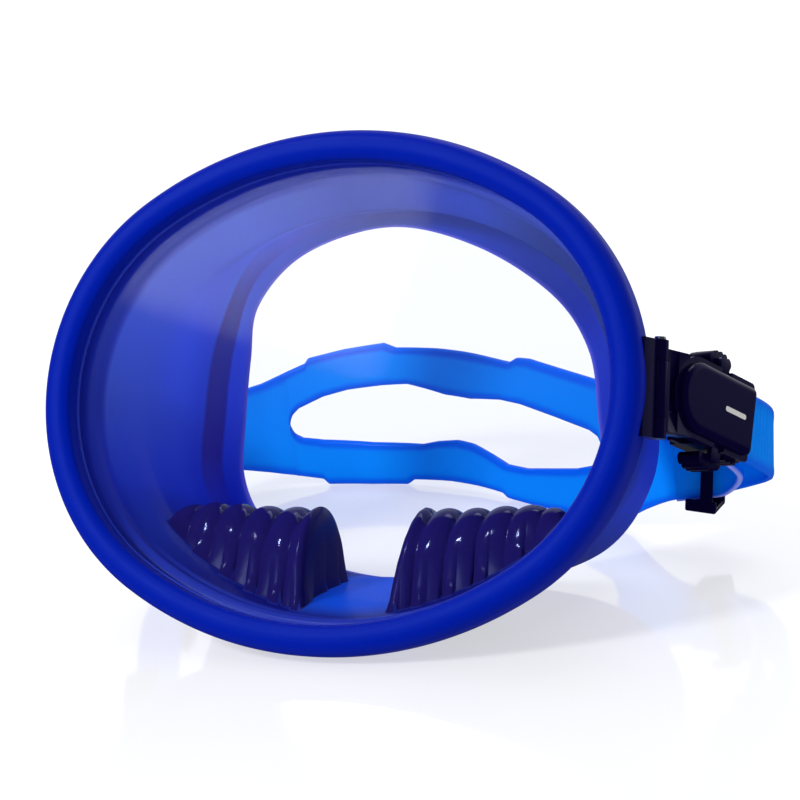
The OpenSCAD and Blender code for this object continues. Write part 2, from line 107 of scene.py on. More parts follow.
def mesh(name, verts, faces, frame_m=None, sharp=35.0):
    """Object from vertices in mm; a mirrored frame turns the faces over."""
    verts = np.asarray(verts, float).reshape(-1, 3)
    if frame_m is not None:
        verts = apply(frame_m, verts)
        if np.linalg.det(frame_m[:3, :3]) < 0:
            faces = [f[::-1] for f in faces]
    me = bpy.data.meshes.new(name)
    me.from_pydata((verts * MM).tolist(), [], faces)
    me.validate()
    me.polygons.foreach_set("use_smooth", [True] * len(me.polygons))
    me.set_sharp_from_angle(angle=rad(sharp))
    obj = bpy.data.objects.new(name, me)
    bpy.context.scene.collection.objects.link(obj)
    return obj


def loft_faces(n, m, close_rows=False, close_cols=True):
    """Quads of n rows of m points."""
    faces = []
    for i in range(n if close_rows else n - 1):
        a, b = i * m, (i + 1) % n * m
        for j in range(m if close_cols else m - 1):
            k = (j + 1) % m
            faces.append([a + j, a + k, b + k, b + j])
    return faces


def attribute(obj, name, values):
    obj.data.attributes.new(name, "FLOAT", "POINT").data.foreach_set("value", np.asarray(values, np.float32))


def rigid(obj, body, mat, slot, *nodes):
    obj.data.materials.append(mat)
    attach(obj, body)
    if nodes:
        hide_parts(*nodes)
    return obj


# ---- Shaders ----

def node_adder(tree):
    """A function that adds one node to the tree, with its inputs given as sockets or values."""
    def add(kind, ins=None, **props):
        node = tree.nodes.new("ShaderNode" + kind)
        for key, value in props.items():
            setattr(node, key, value)
        for key, value in (ins or {}).items():
            socket = node.inputs[key]
            if hasattr(value, "is_output"):
                tree.links.new(value, socket)
            elif socket.type == "RGBA":
                socket.default_value = (*value, 1)
            else:
                socket.default_value = value
        return node

    return add


def shader(name):
    """An empty material, as a function that adds a node and one that ends the material with a shader."""
    mat = bpy.data.materials.new(name)
    mat.use_nodes = True
    tree = mat.node_tree
    tree.nodes.clear()
    out = tree.nodes.new("ShaderNodeOutputMaterial")

    def end(socket):
        tree.links.new(socket, out.inputs["Surface"])
        return mat

    return node_adder(tree), end


def grain(add, scale, strength, distance, detail=2.0, stretch=(1, 1, 1)):
    """Fine surface grain: scale is in features per metre, distance in metres."""
    place = add("TexCoord").outputs["Object"]
    if stretch != (1, 1, 1):
        place = add("Mapping", {"Vector": place, "Scale": stretch}).outputs[0]
    n = add("TexNoise", {"Vector": place, "Scale": scale, "Detail": detail})
    return add("Bump", {"Strength": strength, "Distance": distance, "Height": n.outputs["Fac"]}).outputs[0]


BAR_MID, BAR_HALF = 14.0, 4.0  # the cover's printed bar: its middle behind the stud, half its straight length
BAR_R, BAR_SOFT = 0.62, 0.08  # its half height and the width of its soft outline
BAR_ABOVE = 7.45  # it is printed only on the face beyond this distance outward


def printed_bar(add, ground, ink):
    """Ground colour with a round-ended bar of ink, placed by the cover's own attributes."""
    back, height, outward = [add("Attribute", attribute_name=direction).outputs["Fac"]
                             for direction in ("back", "height", "outward")]
    off = add("Math", {0: back, 1: BAR_MID}, operation="SUBTRACT").outputs[0]
    off = add("Math", {0: off}, operation="ABSOLUTE").outputs[0]
    off = add("Math", {0: off, 1: BAR_HALF}, operation="SUBTRACT").outputs[0]
    off = add("Math", {0: off, 1: 0.0}, operation="MAXIMUM").outputs[0]
    spot = add("CombineXYZ", {0: off, 1: height}).outputs[0]
    far = add("VectorMath", {0: spot}, operation="LENGTH").outputs["Value"]
    on = add("MapRange", {"Value": far, "From Min": BAR_R, "From Max": BAR_R + BAR_SOFT,
                          "To Min": 1.0, "To Max": 0.0}).outputs[0]
    face = add("Math", {0: outward, 1: BAR_ABOVE}, operation="GREATER_THAN").outputs[0]
    on = add("Math", {0: on, 1: face}, operation="MULTIPLY").outputs[0]
    return add("Mix", {"Factor": on, "A": ground, "B": ink}, data_type="RGBA").outputs["Result"]


def plastic(name, base, rough, tint=(1, 1, 1), level=0.5, scale=900.0, bump=0.25, depth=6e-5, ink=None):
    """Moulded plastic with uneven roughness and fine grain; ink is the colour of a bar printed on it."""
    add, end = shader(name)
    patch = add("TexNoise", {"Vector": add("TexCoord").outputs["Object"], "Scale": 60.0, "Detail": 4.0})
    roughness = add("MapRange", {"Value": patch.outputs["Fac"], "To Min": rough * 0.85, "To Max": rough * 1.2})
    colour = printed_bar(add, base, ink) if ink else base
    normal = grain(add, scale, bump, depth)
    return end(add("BsdfPrincipled", {"Base Color": colour, "Roughness": roughness.outputs[0], "IOR": 1.5,
                                      "Specular IOR Level": level, "Specular Tint": tint,
                                      "Normal": normal}).outputs[0])


POLISH_ROUGH, POLISH_LEVEL = 0.09, 0.14  # roughness and reflection of a polished area of silicone


def silicone(name, base, glow, through, masks=(), rough=0.25, level=0.1, bump=0.05, glossy=None):
    """Silicone; some light comes through it in the glow colour.

    masks is a row of (attribute, base, glow, through) that take over where the attribute is 1, and glossy is an
    attribute that marks a polished area.
    """
    add, end = shader(name)
    for attr, new_base, new_glow, new_through in masks:
        fac = add("Attribute", attribute_name=attr).outputs["Fac"]
        base = add("Mix", {"Factor": fac, "A": base, "B": new_base}, data_type="RGBA").outputs["Result"]
        glow = add("Mix", {"Factor": fac, "A": glow, "B": new_glow}, data_type="RGBA").outputs["Result"]
        through = add("Mix", {"Factor": fac, "A": through, "B": new_through}, data_type="FLOAT").outputs["Result"]
    if glossy:
        fac = add("Attribute", attribute_name=glossy).outputs["Fac"]
        rough = add("Mix", {"Factor": fac, "A": rough, "B": POLISH_ROUGH}, data_type="FLOAT").outputs["Result"]
        level = add("Mix", {"Factor": fac, "A": level, "B": POLISH_LEVEL}, data_type="FLOAT").outputs["Result"]
    normal = grain(add, 260.0, bump, 1e-4)
    skin = add("BsdfPrincipled", {"Base Color": base, "Roughness": rough, "IOR": 1.45, "Normal": normal,
                                  "Specular Tint": (0.5, 0.6, 1), "Specular IOR Level": level})
    lit_through = add("BsdfTranslucent", {"Color": glow, "Normal": normal})
    return end(add("MixShader", {0: through, 1: skin.outputs[0], 2: lit_through.outputs[0]}).outputs[0])


def steel(name):
    add, end = shader(name)
    normal = grain(add, 1500.0, 0.2, 2e-5, stretch=(1, 1, 0.08))
    return end(add("BsdfPrincipled", {"Base Color": (0.55, 0.57, 0.6), "Metallic": 1.0, "Roughness": 0.24,
                                      "Normal": normal}).outputs[0])


GLASS_IOR = 1.5


def glass(name):
    """Thin clear glass: a faint blue tint, and mirror-like at glancing angles."""
    add, end = shader(name)
    clear = add("BsdfTransparent", {"Color": (0.95, 0.96, 0.99)})
    shine = add("BsdfGlossy", {"Color": (0.9, 0.93, 1.0), "Roughness": 0.02})
    # The fresnel node inverts its index on rear faces; undo that, as a thin pane never mirrors from inside
    back = add("NewGeometry").outputs["Backfacing"]
    index = add("MapRange", {"Value": back, "To Min": GLASS_IOR, "To Max": 1 / GLASS_IOR}).outputs[0]
    fresnel = add("Fresnel", {"IOR": index})
    return end(add("MixShader", {0: fresnel.outputs[0], 1: clear.outputs[0], 2: shine.outputs[0]}).outputs[0])


BLUE_TINT, NAVY_TINT = (0.12, 0.28, 1.0), (0.5, 0.5, 1.0)
NAVY, SILVER = (0.0022, 0.001, 0.022), (0.62, 0.6, 0.58)
rim_mat = plastic("rim_plastic_mat", (0.0, 0.0085, 0.28), 0.4, BLUE_TINT, 0.07,
                  scale=2600.0, bump=0.6, depth=8e-5)
ring_mat = plastic("retainer_plastic_mat", (0.0, 0.006, 0.24), 0.42, BLUE_TINT, 0.05,
                   scale=1800.0, bump=0.3, depth=8e-5)
navy_mat = plastic("buckle_plastic_mat", NAVY, 0.16, NAVY_TINT, 0.14, scale=700.0, bump=0.05, depth=4e-5)
cover_mat = plastic("buckle_cover_mat", NAVY, 0.09, NAVY_TINT, 0.08,
                    scale=700.0, bump=0.05, depth=4e-5, ink=SILVER)
pawl_mat = plastic("pawl_plastic_mat", (0.012, 0.012, 0.03), 0.3)
skirt_mat = silicone("skirt_silicone_mat", (0.04, 0.085, 0.62), (0.055, 0.14, 0.95), 0.42, glossy="polish",
                     # painted light: the upper left of the wall gets a brighter blue, standing for light that comes
                     # in through the glass
                     masks=(("bright", (0.11, 0.21, 1.0), (0.12, 0.26, 1.0), 0.42),
                            ("shade", (0.01, 0.013, 0.22), (0.016, 0.02, 0.3), 0.2),
                            # painted light: the glass seat gets one even wall colour, which lifts the rim's shadow
                            # on it
                            ("seat", (0.04, 0.075, 0.62), (0.05, 0.11, 0.85), 0.42),
                            # painted shade and highlight: a darker purple band along the inner lip's crease, which
                            # round the upper right stands for a violet highlight
                            ("lip", (0.085, 0.06, 0.42), (0.16, 0.08, 0.7), 0.25),
                            # painted highlight: a pale lavender line along the free edge of the face opening
                            ("tip", (0.2, 0.2, 0.8), (0.25, 0.25, 1.0), 0.4),
                            ("pocket", (0.015, 0.01, 0.115), (0.03, 0.015, 0.25), 0.05),
                            ("floor", (0.01, 0.14, 0.85), (0.1, 0.35, 1.0), 0.5)))
strap_mat = silicone("strap_silicone_mat", (0.001, 0.34, 1.0), (0.001, 0.46, 1.0), 0.42,
                     masks=(("edge", (0.001, 0.16, 0.85), (0.001, 0.2, 0.95), 0.3),
                            # painted highlight: pale lavender along the outline of the strap's right tail
                            ("tail_highlight", (0.35, 0.42, 0.95), (0.4, 0.5, 1.0), 0.3)))
steel_mat = steel("steel_mat")
glass_mat = glass("tempered_glass_mat")
glass_edge_mat = plastic("glass_edge_mat", (0.01, 0.03, 0.4), 0.3, BLUE_TINT, 0.1)


# ---- The rim's oval and everything swept round it ----

def oval(q, o):
    """Point of the rim's four-arc oval, inset by o, at normal angle q in degrees; q and o are arrays."""
    q, o = np.broadcast_arrays(np.asarray(q, float), np.asarray(o, float))
    a, b, r = HALF_W - o, HALF_H - o, END_R - o
    big = (a * a + b * b - 2 * a * r) / (2 * (b - r))
    span = np.degrees(np.arctan((a - r) / (big - b)))
    c, s = np.cos(np.radians(q)), np.sin(np.radians(q))
    on_top = np.abs((q + 360) % 180 - 90) <= span
    x = np.where(on_top, big * c, r * c + np.sign(np.round(c, 9)) * (a - r))
    z = np.where(on_top, big * s - np.sign(np.round(s, 9)) * (big - b), r * s)
    return x, z


def arc(cx, cy, r, start, end, steps):
    return [(cx + r * math.cos(rad(start + (end - start) * i / steps)),
             cy + r * math.sin(rad(start + (end - start) * i / steps))) for i in range(steps + 1)]


def sweep(name, section, steps=288, wobble=None):
    """section is [(inset, depth)], swept round the rim in the mask frame."""
    q = np.arange(steps) * 360.0 / steps - 90
    sec = np.asarray(section, float)
    o = np.repeat(sec[None, :, 0], steps, 0)
    d = np.repeat(sec[None, :, 1], steps, 0)
    if wobble is not None:
        o, d = wobble(q[:, None], o, d)
    x, z = oval(q[:, None], o)
    pts = np.stack([x, d, z], -1)
    return mesh(name, pts, loft_faces(steps, len(sec), True, True), MASK)


EDGE_W, EDGE_D = 3.4, 3.8  # rounding of the rim's outer edge: width across the face, depth back
INNER_W, INNER_D = 3.8, 2.2  # the same for its inner edge
HEEL_W, HEEL_D = 2.0, 6.2  # and for its rear edge
SEAT_D = 5.5  # depth of the seat that the skirt's bead and the glass press against
rim_section = (
    [(EDGE_W * (1 - math.cos(rad(w))), EDGE_D * (1 - math.sin(rad(w)))) for w in range(0, 91, 9)]
    + [(RIM_FACE - INNER_W * (1 - math.sin(rad(w))), INNER_D * (1 - math.cos(rad(w)))) for w in range(0, 91, 9)]
    + [(RIM_FACE, 2.8), (RIM_FACE, 4.0), (RIM_FACE - 0.06, SEAT_D - 0.2), (RIM_FACE - 0.3, SEAT_D)]
    + [(5.0, SEAT_D), (WALL_T + 0.3, SEAT_D), (WALL_T, SEAT_D + 0.3), (WALL_T, 9.0), (WALL_T, WALL_BACK - 0.1),
       (WALL_T - 0.12, WALL_BACK)]
    + [(HEEL_W * (1 - math.cos(rad(w))), WALL_BACK - HEEL_D * (1 - math.sin(rad(w)))) for w in range(80, -1, -8)]
    + [(0.0, 5.2)])
frame_ring = rigid(sweep("rim", rim_section, 360), "root", rim_mat, "rim_plastic", "frame_ring")

RETAINER_D = 13.8  # depth of the retaining ring's rear face
NOTCH_STEP, NOTCH_HALF, NOTCH_D = 30, 1.5, 0.55  # thumb notches: angle apart, half angle of one, depth


def clip_notches(q, o, d):
    """Shallow thumb notches round the retaining ring's rear face."""
    near = np.exp(-(((q + 90) % NOTCH_STEP - NOTCH_STEP / 2) / NOTCH_HALF) ** 4)
    return o, d - NOTCH_D * near * (d > RETAINER_D - 0.3) * (o > 3.0)


retainer_section = [
    (2.62, 11.42), (4.5, 11.42), (6.3, 11.42), (6.5, 11.62), (6.5, 12.6), (6.5, 13.5), (6.3, 13.75),
    (6.0, RETAINER_D), (5.2, RETAINER_D), (4.4, RETAINER_D), (3.6, RETAINER_D), (3.0, RETAINER_D),
    (2.75, 13.72), (2.32, 13.3), (2.2, 13.1), (2.2, 12.36), (2.3, 12.3), (2.62, 12.28)]
rigid(sweep("retaining_ring_smooth", retainer_section, 720, clip_notches), "root", ring_mat, "rim_plastic",
      "retaining_ring")

# The glass: two faces and a ground edge, whose bevels come in three small steps
GLASS_POINTS, GLASS_INSET = 240, 4.65
GLASS_BEVEL = ((0.5, 0.0), (0.1, 0.35), (0.0, 0.8))  # inset of the outline and depth from the face
glass_q = np.arange(GLASS_POINTS) * 360 / GLASS_POINTS
glass_rows = []
for step, down in GLASS_BEVEL:
    glass_rows.append((GLASS_INSET + step, RECESS + down))
for step, down in GLASS_BEVEL[::-1]:
    glass_rows.append((GLASS_INSET + step, RECESS + GLASS_T - down))
glass_verts = []
for inset, depth in glass_rows:
    x, z = oval(glass_q, inset)
    glass_verts.append(np.stack([x, np.full(GLASS_POINTS, depth), z], -1))
last_row = (len(glass_rows) - 1) * GLASS_POINTS
lens_faces = [f[::-1] for f in loft_faces(len(glass_rows), GLASS_POINTS)]
lens_faces += [list(range(GLASS_POINTS)), list(range(last_row, last_row + GLASS_POINTS))[::-1]]
lens = mesh("lens_glass", np.array(glass_verts), lens_faces, MASK, 25)
rigid(lens, "root", glass_mat, "tempered_glass", "lens")
lens.data.materials.append(glass_edge_mat)
for poly in lens.data.polygons:
    poly.material_index = 0 if len(poly.vertices) > 4 else 1


# ---- Skirt ----

# Two lines round the right half of the skirt, from the bottom to the top, as (x, y, z) in the mask frame
BEND = [[0, 52, -47.1], [30, 55, -45.55], [56, 59, -36], [68, 61, -18], [69, 61, 2],
        [64, 57, 24], [50, 51, 46], [27, 46, 55], [0, 44, 57]]  # where the wall turns in to the face
EDGE = [[0, 57, -44.6], [27, 59, -40.5], [46, 61, -29], [54, 62, -16], [53.4, 60, 0],
        [51.2, 57, 17.5], [44, 47, 31], [25.5, 38, 43], [0, 38, 49.4]]  # the free edge of the face opening
POCKET_IN, POCKET_OUT = 12.5, 56.0  # ends of a finger pocket, from the mask's middle
POCKET_H, POCKET_W = 22.8, 14.0  # its height and its half width, at the inner end
POCKET_Y = 32.5  # depth of its middle
RIBS = 5
SKIRT_ROWS = (10, 60, 14)  # points down the wall: rim to neck, neck to bend, bend to edge


def spline(p0, p1, p2, p3, t):
    return 0.5 * (2 * p1 + (p2 - p0) * t + (2 * p0 - 5 * p1 + 4 * p2 - p3) * t * t
                  + (3 * p1 - p0 - 3 * p2 + p3) * t ** 3)


def contour(line, q):
    """Points of a mirrored contour at angles q, from -90 at the bottom, round by the right, to 270."""
    half = np.asarray(line, float)
    flip = np.array([-1.0, 1, 1])
    spans = len(half) - 1
    s = np.where(q <= 90, q + 90, 270 - q) * spans / 180
    i = np.minimum(np.floor(s).astype(int), spans - 1)
    ext = np.concatenate([half[1:2] * flip, half, half[spans - 1:spans] * flip])
    t = (s - i)[:, None]
    p = spline(ext[i], ext[i + 1], ext[i + 2], ext[i + 3], t)
    return np.where((q <= 90)[:, None], p, p * flip)


def ring_at(q, o, depth):
    x, z = oval(q, o)
    return np.stack([x, np.full_like(x, depth), z], -1)


def inward(p, d):
    """Points moved by d towards the middle line of the mask."""
    k = 1 - d / np.hypot(p[:, 0], p[:, 2])
    return np.stack([p[:, 0] * k, p[:, 1], p[:, 2] * k], -1)


def pocket_rise(x, y, inset):
    """Height of a ribbed finger pocket over the skirt's floor; inset is 0 on the surface that shows."""
    from_in = np.abs(x) - inset - POCKET_IN
    length = POCKET_OUT - POCKET_IN
    t = from_in / (length - inset)
    tc = np.clip(t, 0, 1)
    bulge = np.abs(np.cos(np.pi * (from_in * (RIBS + 0.5) / length - 0.22))) ** 0.5
    reach = (POCKET_W - inset) * (1 - 0.45 * tc) * (0.93 + 0.07 * bulge)
    across = np.clip(np.abs((y - POCKET_Y) / reach), 0, 1)
    near = np.clip(from_in / 3.4, 0, 1)
    crown = (1 - across ** 2) ** 0.38
    ends = np.sqrt(1 - (1 - near) ** 2.4) * np.sqrt(1 - tc ** 4)
    rise = (POCKET_H * (1 - 0.42 * tc) - inset) * crown * ends * (0.88 + 0.12 * bulge)
    return np.where((t > 0) & (t < 1), rise, 0)


def with_pocket(p, inset):
    """Points of the wall with the pockets raised on its lower part, and the height of each point's rise."""
    rise = np.where(p[:, 2] > -12, 0, pocket_rise(p[:, 0], p[:, 1], inset))
    return p + np.stack([0 * rise, 0 * rise, rise], -1), rise


def wall(q, t_in):
    """Skirt wall from the rim to the face edge, one (points, rise) per row; t_in is 0 outside."""
    root = ring_at(q, 6.7 + 1.2 * t_in, 14.2)
    neck = ring_at(q, 13 + t_in, 27)
    bend = inward(contour(BEND, q), t_in) - np.array([0, t_in, 0])
    edge = contour(EDGE, q) - np.array([0, 0.55 * t_in, 0])
    lines = [2 * root - neck, root, neck, bend, edge, 2 * edge - bend]
    out = []
    for k, count in enumerate(SKIRT_ROWS):
        last = count + 1 if k == len(SKIRT_ROWS) - 1 else count
        for m in range(last):
            p = spline(*lines[k:k + 4], m / count)
            out.append(with_pocket(p, 0.0 if t_in > 0 else SKIRT_T))
    return out


def skirt_steps():
    """Angles round the sweep, close together over the pockets."""
    fine = np.concatenate([np.arange(-90, -74, 0.5), np.arange(-74, -40, 0.22)])
    half = np.concatenate([fine, np.arange(-40, 90, 1.5)])
    around = np.unique(np.round(np.concatenate([half, 180 - half[::-1]])[:-1], 4))
    return around[(around >= -90) & (around < 270)]


steps = skirt_steps()
outer, inner = wall(steps, 0.0), wall(steps, SKIRT_T)
groove = RECESS - 0.05  # front of the groove that holds the glass
shelf = groove + GLASS_T + 0.1  # and its rear
flat = np.zeros(len(steps))
BEAD = ((2.6, groove - 0.75), (2.6, 9.0), (2.6, 11.35), (4.5, 11.35), (6.7, 11.35))
GROOVE = ((10.0, shelf + 2.0), (9.5, shelf + 0.9), (8.7, shelf + 0.2), (7.6, shelf), (4.35, shelf),
          (4.35, groove + 1.5), (4.35, groove), (6.5, groove), (8.2, groove), (8.2, groove - 0.75))
tip_out = outer[-1][0] - outer[-2][0]
tip_out = tip_out / np.linalg.norm(tip_out, axis=1)[:, None]
face_tip = (outer[-1][0] + inner[-1][0]) / 2 + 0.45 * tip_out
rows = ([(ring_at(steps, *at), flat) for at in BEAD] + [(p, flat) for p, _ in outer] + [(face_tip, flat)]
        + inner[::-1] + [(ring_at(steps, *at), flat) for at in GROOVE])
pts = np.stack([p for p, _ in rows], 1)
rise = np.stack([r for _, r in rows], 1)
skirt = mesh("skirt_silicone_body", pts, loft_faces(len(steps), pts.shape[1], True, True), MASK, 50)


def ramp(value, start, end):
    """0 at start and 1 at end, with a straight rise between."""
    return np.clip((value - start) / (end - start), 0, 1)


def row_mask(first, last):
    """1 on a span of the skirt's rows, counted from the first inner row at the face edge."""
    mask = np.zeros(pts.shape[:2])
    mask[:, FIRST_INNER + first:last if last is None else FIRST_INNER + last] = 1
    return mask


FIRST_INNER = len(BEAD) + len(outer) + 1
skirt_x, skirt_y, skirt_z = pts[..., 0], pts[..., 1], pts[..., 2]
from_mid = np.abs(skirt_x)
pocket = ramp(rise, 0.2, 1.0)
# The colour reaches one point past the foot of a pocket, so that it doesn't fade up its steep sides
pocket = np.max([np.roll(pocket, k, axis) for axis in (0, 1) for k in (-1, 0, 1)], 0)
floor_tone = (ramp(from_mid, 17, 11) * ramp(skirt_y, 16, 24) * (skirt_z < -25) * ramp(skirt_y, 58, 52)
              * (1 - pocket))
low = ramp(skirt_z, -22, -48)
high = 0.1 * ramp(skirt_z, 22, 42)
far_right = 0.8 * ramp(skirt_x, 30, 52) * ramp(skirt_y, 50, 38)
SKIRT_TONES = {
    "pocket": pocket,
    "polish": pocket * ramp(from_mid, POCKET_IN + 1.5, POCKET_IN + 4),
    "floor": floor_tone,
    # painted light: the upper left of the inner wall is lighter, for light that comes in through the glass
    "bright": ramp(skirt_x, -5, -35) * ramp(skirt_z, -25, 5),
    "shade": np.max([low, high, far_right], 0) * (1 - pocket) * (1 - floor_tone) * (rise < 0.01),
    # painted light: the seat rows get an even colour in place of the rim's shadow on them
    "seat": row_mask(len(inner) - 2, None),
    # painted highlight: the rows at the free edge of the face opening are pale lavender
    "tip": row_mask(-3, 1),
    # painted shade along the inner lip's crease, standing for a violet highlight round the upper right
    "lip": row_mask(7, 14) * ramp(skirt_z, -30, -10) * np.clip((50 - skirt_z) / 18, 0.15, 1),
}
for tone_name, tone in SKIRT_TONES.items():
    attribute(skirt, tone_name, tone.ravel())
rigid(skirt, "root", skirt_mat, "skirt_silicone", "skirt")


# ---- Strap ----

def buckle_local(p):
    """A point of the right-hand buckle in the strap's frame: level with the rim's centre, on the floor."""
    return apply(np.linalg.inv(FLOOR_FRAME) @ SIDES["right"]["buckle"], p)


UP = np.array([0.0, 0, 1])
BUCKLE_UP = buckle_local([0, 0, 1]) - buckle_local([0, 0, 0])
S_HALF, S_T, S_BACK = 9.0, 1.8, 2.8  # half height of the strap's ends, their thickness, thickness of its back
IN_RUN, OUT_RUN = -3.4, 2.2  # how far outward the strap runs into the buckle and out of it
ROLLER_OUT, ROLLER_BACK, WRAP_R = -0.6, 13, 2.8  # roller's axis in the buckle, and radius of the strap round it


def at_buckle(outward, back):
    """Strap station in the right-hand buckle's frame."""
    return [buckle_local([outward, back, 0]), BUCKLE_UP, S_HALF, S_T, 0]


def free(x, y, z, upright=1.0, half=S_HALF, thick=S_T, slot=0):
    """Strap station in the floor frame; upright is 1 for level and 0 for tilted like the buckle."""
    return [np.array([x, y, z], float), upright * UP + (1 - upright) * BUCKLE_UP, half, thick, slot]


def back_of(x, y, z, half, slot):
    return free(x, y, z, 1.0, half, S_BACK, slot)


def flipped(station):
    f = np.array([-1.0, 1, 1])
    return [station[0] * f, station[1] * f, *station[2:]]


in_buckle = ([at_buckle(IN_RUN, 24), at_buckle(IN_RUN, 18)]
             + [at_buckle(ROLLER_OUT + WRAP_R * math.sin(rad(w)), ROLLER_BACK - WRAP_R * math.cos(rad(w)))
                for w in range(-75, 76, 30)]
             + [at_buckle(OUT_RUN, 18), at_buckle(OUT_RUN, 24)])
right_tail = [free(69, 65.4, 21.6), free(76.5, 65.2, 22.6), free(83.8, 64.3, 24.3, 0.75),
              free(90, 58.4, 31, 0.4)]
right_run = [free(97.4, 54.2, 34.4, 0.3), free(96.8, 62, 29.6, 0.6), free(90.5, 67, 26, 0.85),
             free(82.5, 67.9, 23.6), free(75, 67.9, 22), free(66.5, 68.9, 21.2, 1.0, 9.5),
             free(58, 73.2, 20.8, 1.0, 13, 2.2), back_of(49.5, 79, 21.2, 18.5, 0)]
back = [back_of(44, 82.3, 21.4, 20.3, 2.5), back_of(41, 84, 21.5, 20.6, 5), back_of(27, 91, 21.7, 21.2, 6.5),
        back_of(9, 100.3, 22, 21.7, 7.2), back_of(-8, 109.5, 22.2, 22, 7.6),
        back_of(-26, 114.5, 22.3, 22.2, 7.8), back_of(-44, 116, 22.2, 22, 7.6), back_of(-58, 115.3, 22, 21, 6.2),
        back_of(-68, 113.6, 21.8, 19.4, 4.2), back_of(-70.5, 113, 21.7, 18.8, 2.4)]
left_run = [free(-79, 110, 21.6, 1.0, 15.5, 2.4), free(-91, 102, 22, 1.0, 11, 2), free(-99.5, 90, 23.4),
            free(-101.5, 76, 26.8, 0.9), free(-100.2, 62, 31.3, 0.6), free(-97.4, 53, 35.5, 0.3)]
left_tail = [free(-92.4, 54.5, 34.8, 0.35), free(-95.8, 64, 30.3, 0.65), free(-98.4, 75.5, 26.9, 0.9),
             free(-96.8, 85.5, 24.6)]
in_left_buckle = [flipped(s) for s in in_buckle[::-1]]
stations = right_tail + in_buckle + right_run + back + left_run + in_left_buckle + left_tail
N_TAIL, N_IN, LAST = len(right_tail), len(in_buckle), len(stations) - 1
SLOT_FROM = N_TAIL + N_IN + len(right_run)
SLOT_TO = SLOT_FROM + len(back) - 1
table = np.array([np.concatenate([s[0], s[1], s[2:]]) for s in stations])


def along(f):
    """Strap data at station parameters f: centre, up, half height, thickness, slot."""
    f = np.clip(f, 0, LAST)
    i = np.minimum(np.floor(f).astype(int), LAST - 1)
    around = [table[np.clip(i + k, 0, LAST)] for k in (-1, 0, 1, 2)]
    return spline(*around, (f - i)[:, None])


dense = np.linspace(0, LAST, 6000)
steps_along = np.linalg.norm(np.diff(along(dense)[:, :3], axis=0), axis=1)
arc_len = np.concatenate([[0], np.cumsum(steps_along)])


def at_len(length):
    """Station parameter at a length along the strap, in mm."""
    return np.interp(length, arc_len, dense)


def len_at(f):
    return np.interp(f, dense, arc_len)


def smooth(x, a, b):
    t = ramp(x, a, b)
    return t * t * (3 - 2 * t)


def plateau(x, a, b, soft):
    """1 between a and b and 0 outside, with soft ends."""
    return smooth(x, a - soft / 2, a + soft / 2) * (1 - smooth(x, b - soft / 2, b + soft / 2))


# The strap's back has four edge lines: top, the two sides of the split, bottom. A point is (x, height over
# the strap's middle)
BACK_TOP = ((-91, 11), (-84, 11.8), (-77.4, 13.2), (-70, 15.8), (-62.9, 18.2), (-61.9, 19.7), (-50, 21.8),
            (-36, 23.5), (-32, 22), (-16.6, 22.2), (1, 21.8), (11.4, 21.5), (14.6, 23.3), (18.7, 23.6),
            (43.5, 20.8), (49.5, 18.5))
BACK_HIGH = ((-70.5, -1.2), (-70.3, -0.2), (-69.3, 1.9), (-67, 3.8), (-58.6, 7), (-50, 8.8), (-38, 10),
             (-29, 10.5), (-23.7, 9.5), (-15.3, 7.8), (-5.7, 7.5), (6.7, 9.3), (14.6, 9.2), (27.2, 7.5),
             (39.5, 5.5), (43, 3.8), (43.8, 1.6), (44, 0.3))
BACK_LOW = ((-70.5, -1.4), (-70.3, -2.4), (-69.3, -4.4), (-67, -5.8), (-60.6, -7), (-44, -8.5), (-26.8, -8.8),
            (-21, -7.5), (-13.5, -6.5), (-7.8, -7), (-0.3, -9.2), (5.4, -11), (13.2, -10.8), (32.4, -7.2),
            (43, -3.8), (43.8, -1.6), (44, -0.3))
BACK_BOTTOM = ((-91, -11), (-85.6, -14), (-74.8, -17), (-62, -19.8), (-60.5, -21.6), (-46.3, -22.1),
               (-33.5, -22), (-31, -20.4), (-17.5, -20), (-6.6, -20.2), (3.5, -20.4), (5.4, -21.6),
               (16.8, -21.8), (40, -20.6), (49.5, -18.5))


def strap_frame(f):
    """Centre, up, outward, half height, thickness and slot of the strap at station parameters f."""
    d = along(f)
    step = along(np.minimum(f + 0.02, LAST)) - along(np.maximum(f - 0.02, 0))
    c, tall = d[:, :3], d[:, 3:6]
    tall = tall / np.linalg.norm(tall, axis=1)[:, None]
    out = np.cross(step[:, :3], tall)
    out = out / np.linalg.norm(out, axis=1)[:, None]
    return c, tall, out, d[:, 6], d[:, 7], d[:, 8]


def back_edge(line, c, f, plain):
    """Height of an edge: from the table over the back, plain elsewhere."""
    x, h = np.array(line, float).T
    return np.where((f > SLOT_FROM - 1) & (f < SLOT_TO + 2), np.interp(c[:, 0], x, h), plain)


BEAD_W, BEAD_H = 1.6, 0.28  # width of the raised bead along the strap's edges, and its height
EDGE_ROUND = 0.9  # largest rounding of an edge
RIB_PITCH, RIB_H = 1.7, 0.3  # teeth on the strap's ends
# Points from one edge of a band to the other, as fractions, close together at the edges
ACROSS = np.concatenate([[0.0, 0.012, 0.05, 0.11], np.linspace(0.2, 0.8, 9), [0.89, 0.95, 0.988, 1.0]])


def both_faces(front, rear):
    """Values round a band: across its outer face and back across the inner one."""
    return np.concatenate([front, rear[:, ::-1][:, 1:-1]], 1)


